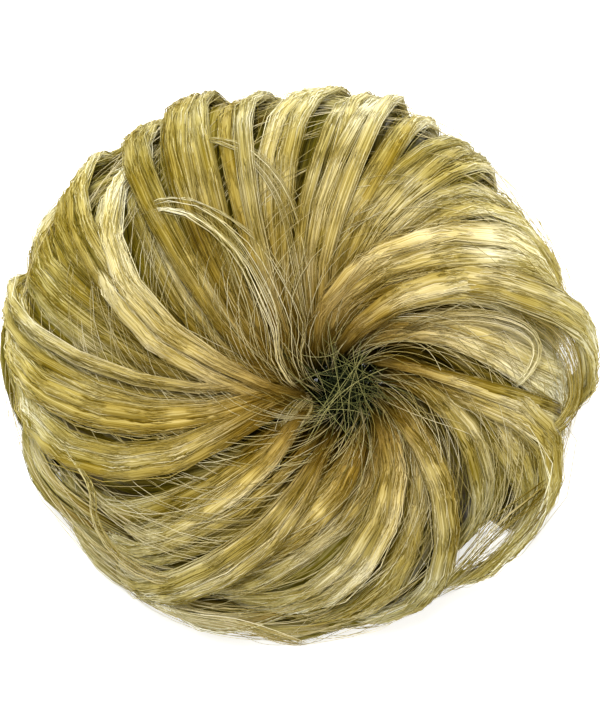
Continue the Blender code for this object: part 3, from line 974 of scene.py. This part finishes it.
def flyaways(count, way_from, way_to, lift, length, tone, reach_from, reach_to):
    """Fine loose strands that lie across the locks."""
    share = EVEN[None].repeat(count, 0)
    turn = chance.uniform(0, 360, count)[:, None]
    way = chance.uniform(way_from, way_to, count)[:, None]
    run = chance.uniform(*length, count)[:, None]
    lean = chance.normal(0.35, 0.5, count)[:, None]
    ways = way + run * 0.25 * (share - 0.5)
    turns = turn + run * 60 * (share - 0.5) * (1 + lean)
    turns = turns + wander(count, share, 2.5, (1.0, 2.2))
    ways = np.clip(ways + wander(count, share, 0.010, (1.1, 2.4)), 0.0, 0.62)
    waves = np.sin(np.pi * share * chance.uniform(0.8, 2.0, (count, 1)) + turn)
    heights = 0.0030 + lift * (0.5 + 0.5 * waves)
    reach = chance.uniform(reach_from, reach_to, count)[:, None]
    reach = reach - 0.07 * np.maximum(0.0, np.cos(np.radians(turns - 105)))
    points = on_bun(turns, ways, reach, heights)
    up = unit(on_bun(turns, ways, reach, heights + 0.001) - points)
    return {
        "points": points,
        "up": up,
        "radius": FINE_RADIUS * chance.uniform(0.7, 1.3, count),
        "tone": tone + chance.normal(0, 0.12, count),
        "gold": chance.uniform(0.0, 0.6, count),
        # Placed on the middle of the ramp of painted light and shade
        "share": 0.38 + 0.16 * share,
    }


def make_locks():
    """The swirl, a piece of strands and a piece of cores for each side of the bun."""
    for name, rows in LOCKS.items():
        strands, inside = [], []
        places = RIM_FINE if name == "locks_right" else EVEN
        for row in rows:
            width, tone, gold = row[8], row[10], row[11]
            path, parts = lock_path(row), sub_locks(width)
            count = round(LOCK_STRANDS * width)
            strands.append(bundle(path, count, tone, gold, parts, 0.09, places=places))
            # The cores are painted a little darker than the strands, as shade inside the lock
            inside += cores(path, parts, tone - 0.02, gold)
        tubes(name, joined(strands), fibre)
        core_mesh(name + "_cores", inside, packed)


def make_inner_hair():
    """Hair between and under the locks, along the middle of each two that lie side by side, painted
    darker as the shade between them.
    """
    rows = sorted((row for group in LOCKS.values() for row in group), key=lambda row: row[2])
    strands, inside = [], []
    for first, second in zip(rows, rows[1:] + rows[:1]):
        gap = (np.array(second[:7]) - np.array(first[:7]) + 180) % 360 - 180
        turns = np.array(first[:7]) + gap / 2
        reach = min(first[7], second[7]) - 0.05
        open_here = OPEN_FROM < first[2] < OPEN_TO
        if open_here:
            reach = min(reach, OPEN_REACH)
        path = lock_path((*turns, reach, 0.9 + abs(gap[2]) / 14, -0.7))
        parts = sub_locks(0.9)
        count = OPEN_STRANDS if open_here else INNER_STRANDS
        # Tones 0.22 and 0.25: painted shade of the hair that lies low between the locks
        strands.append(bundle(path, count, 0.22, 0.3, parts, 0.12, INNER_RADIUS))
        if not open_here:
            inside += cores(path, parts, 0.25, 0.3, stations=18)
    tubes("inner_hair", joined(strands), fibre)
    core_mesh("inner_hair_cores", inside, packed)


def make_wisps():
    """Each wisp is one part as wide as its path, half of it loose."""
    strands = []
    part = {"u": 0.0, "v": 0.0, "swing": 0.1, "phase": 0.0, "wide": 1.0, "tone": 0, "gold": 0}
    for count, width, lift, tone, gold, places in WISPS:
        path = wisp_path(places, width, lift)
        strand = bundle(path, count, tone, gold, [part], 0.5, INNER_RADIUS)
        # Placed on the crest part of the ramp of painted light and shade
        strand["share"] = 0.35 + 0.25 * strand["share"]
        strands.append(strand)
    tubes("wisps", joined(strands), fibre)


def make_rim_and_underside():
    """The lower tier with the hair behind it, and the returns underneath."""
    strands, inside = [], []
    for row in RIM_TIER + RIM_BACKING:
        width, tone = row[6:8]
        path, parts = rim_path(row), sub_locks(width)
        count = RIM_STRANDS if row in RIM_TIER else BACKING_STRANDS
        strand = bundle(path, count, tone, 0.15, parts, 0.18)
        # Placed on the rim part of the ramp, where light is painted on
        strand["share"] = 0.52 + 0.25 * strand["share"]
        strands.append(strand)
        # The cores are painted a little darker than the strands, as shade inside the lock
        inside += cores(path, parts, tone - 0.03, 0.1)
    tubes("rim_tier", joined(strands), fibre)
    core_mesh("rim_tier_cores", inside, packed)
    strands = []
    for number in range(UNDER_LOCKS):
        path = under_path(number)
        strands.append(bundle(path, UNDER_STRANDS, 0.40, 0.3, sub_locks(0.6), 0.05))
    tubes("under_locks", joined(strands), fibre)


def make_loose_strands():
    """The strands over the well, from low and dark to high and pale, the low ones painted darker as the
    well's shade, and those on the locks.
    """
    made = [
        # Tone 0: a thick near-black layer painted as the shade at the bottom of the well
        well_strands(220, 0.003, 0.011, 0.0, STRAND_RADIUS * 2.4),
        well_strands(36, 0.012, 0.022, 0.34, FINE_RADIUS),
        crossing_strands(52, (0.02, 0.12), (0.004, 0.026), 0.48),
        crossing_strands(38, (0.06, 0.20), (0.010, 0.034), 0.80),
    ]
    tubes("well_strands", joined(made), well_fibre)
    made = [
        flyaways(560, 0.08, 0.42, 0.0020, (0.3, 1.0), 0.74, 0.86, 0.94),
        flyaways(260, 0.42, 0.53, 0.0012, (0.15, 0.5), 0.80, 0.87, 0.96),
        flyaways(10, 0.38, 0.44, 0.0010, (0.2, 0.5), 0.70, 0.92, 0.96),
    ]
    tubes("loose_strands", joined(made), fibre)


fibre = hair_material("blond_hair", False)
packed = hair_material("packed_hair", True)
well_fibre = well_material()
make_bed(bed_material())
cover = thread_material("woven_elastic", (0.10, 0.06, 0.03), (0.26, 0.18, 0.09), 0.7, 900)
make_braided_elastic(cover)
tape = thread_material("weft_tape", (0.04, 0.022, 0.01), (0.13, 0.08, 0.035), 0.75, 600)
make_sewn_weft(tape)
make_locks()
make_inner_hair()
make_rim_and_underside()
make_wisps()
make_loose_strands()


def area_light(name, place, target, size, power):
    """A round soft light that faces the target."""
    light = bpy.data.lights.new(name, "AREA")
    light.shape = "DISK"
    light.size = size
    light.energy = power
    obj = bpy.data.objects.new(name, light)
    obj.location = place
    obj.rotation_euler = (Vector(target) - Vector(place)).to_track_quat("-Z", "Y").to_euler()
    bpy.context.scene.collection.objects.link(obj)


def make_studio():
    """A white floor, an even white surround, and large soft lights."""
    scene = bpy.context.scene
    floor_mesh = bpy.data.meshes.new("floor")
    half = 2.0
    floor_mesh.from_pydata(
        [(-half, -half, 0), (half, -half, 0), (half, half, 0), (-half, half, 0)], [], [(0, 1, 2, 3)]
    )
    material, _, _, shader = new_material("white_floor", 0.9)
    shader.inputs["Base Color"].default_value = (0.92, 0.92, 0.92, 1.0)
    shader.inputs["Specular IOR Level"].default_value = 0.1
    shader.inputs["Emission Color"].default_value = (1.0, 1.0, 1.0, 1.0)
    shader.inputs["Emission Strength"].default_value = 0.35
    floor_mesh.materials.append(material)
    floor = bpy.data.objects.new("floor", floor_mesh)
    scene.collection.objects.link(floor)

    world = bpy.data.worlds.new("studio")
    world.use_nodes = True
    world.node_tree.nodes["Background"].inputs["Color"].default_value = (1.0, 0.975, 0.90, 1.0)
    world.node_tree.nodes["Background"].inputs["Strength"].default_value = 0.55
    scene.world = world
    area_light("key", (-0.07, 0.22, 0.95), (0, 0, 0.02), 0.30, 12.0)
    area_light("fill", (0.45, -0.25, 0.80), (0, 0, 0.02), 0.60, 3.0)
    area_light("back", (-0.12, 0.75, 0.32), (0, 0.03, 0.02), 0.45, 2.6)
    scene.view_settings.view_transform = "Standard"


def make_camera():
    """Straight above, far enough away that the sides hardly lean."""
    camera = bpy.data.objects.new("camera", bpy.data.cameras.new("camera"))
    outline_middle = (WELL[0] - WELL_RIGHT, WELL[1] + WELL_FRONT)
    distance, frame_height = 0.80, 0.1649
    aim_right, aim_back = 0.00035, 0.0034
    camera.location = (
        outline_middle[0] + aim_right,
        outline_middle[1] + aim_back,
        RIM_HEIGHT + distance,
    )
    camera.data.sensor_width = 36.0
    camera.data.lens = 36.0 * distance / frame_height
    camera.data.clip_end = 20.0
    bpy.context.scene.collection.objects.link(camera)
    bpy.context.scene.camera = camera


make_studio()
make_camera()
